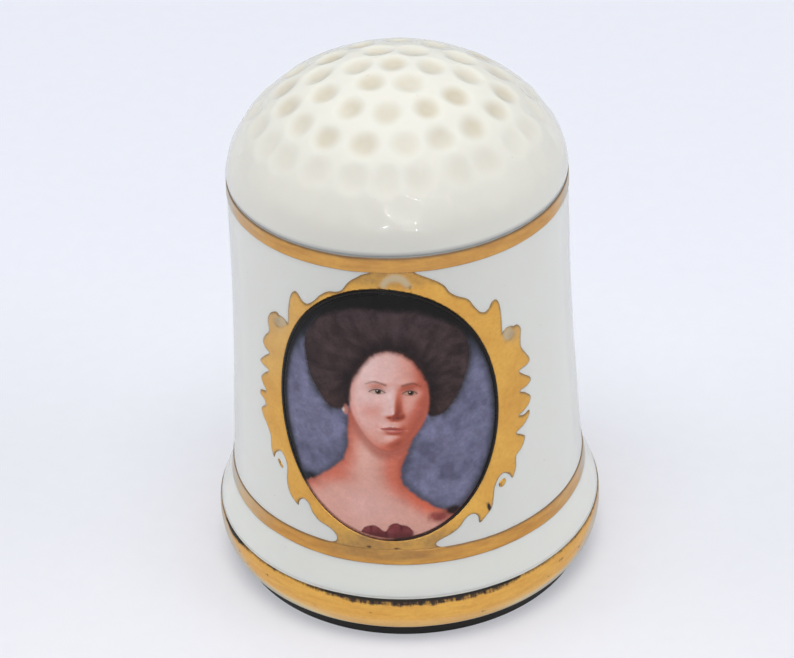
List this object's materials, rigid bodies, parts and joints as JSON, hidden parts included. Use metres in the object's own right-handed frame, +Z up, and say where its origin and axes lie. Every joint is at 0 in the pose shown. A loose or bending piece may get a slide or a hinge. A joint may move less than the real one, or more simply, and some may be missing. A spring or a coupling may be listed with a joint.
{
  "type": "thimble",
  "caption": "Hollow porcelain thimble with a dimpled dome cap, gilt bands and an oval enamel portrait in a gilt scroll frame.",
  "frame": {"origin": "on the axis, in the plane the foot stands on", "axes": "+Z up along the axis towards the dome, portrait facing -Y"},
  "size_m": [0.02, 0.02, 0.028],
  "materials": {
    "porcelain": "clear-glazed white porcelain",
    "gilding": "fired bright gold, lightly worn",
    "foot_line": "dark fired line",
    "enamel_line": "dark brown glossy enamel",
    "enamel_blue": "mottled slate blue enamel",
    "enamel_hair": "dark brown enamel",
    "enamel_flesh": "flesh pink enamel",
    "enamel_strokes": "fine brown enamel strokes",
    "enamel_dress": "burgundy enamel"
  },
  "bodies": {
    "root": {"porcelain_body": "porcelain", "upper_gilt_band": "gilding", "lower_gilt_band": "gilding", "foot_gilt_band": "gilding", "foot_edge_line": "foot_line", "gilt_frame": "gilding", "portrait_outline": "enamel_line", "portrait_background": "enamel_blue", "portrait_hair": "enamel_hair", "portrait_skin": "enamel_flesh", "portrait_features": "enamel_strokes", "portrait_dress": "enamel_dress"}
  },
  "joints": []
}
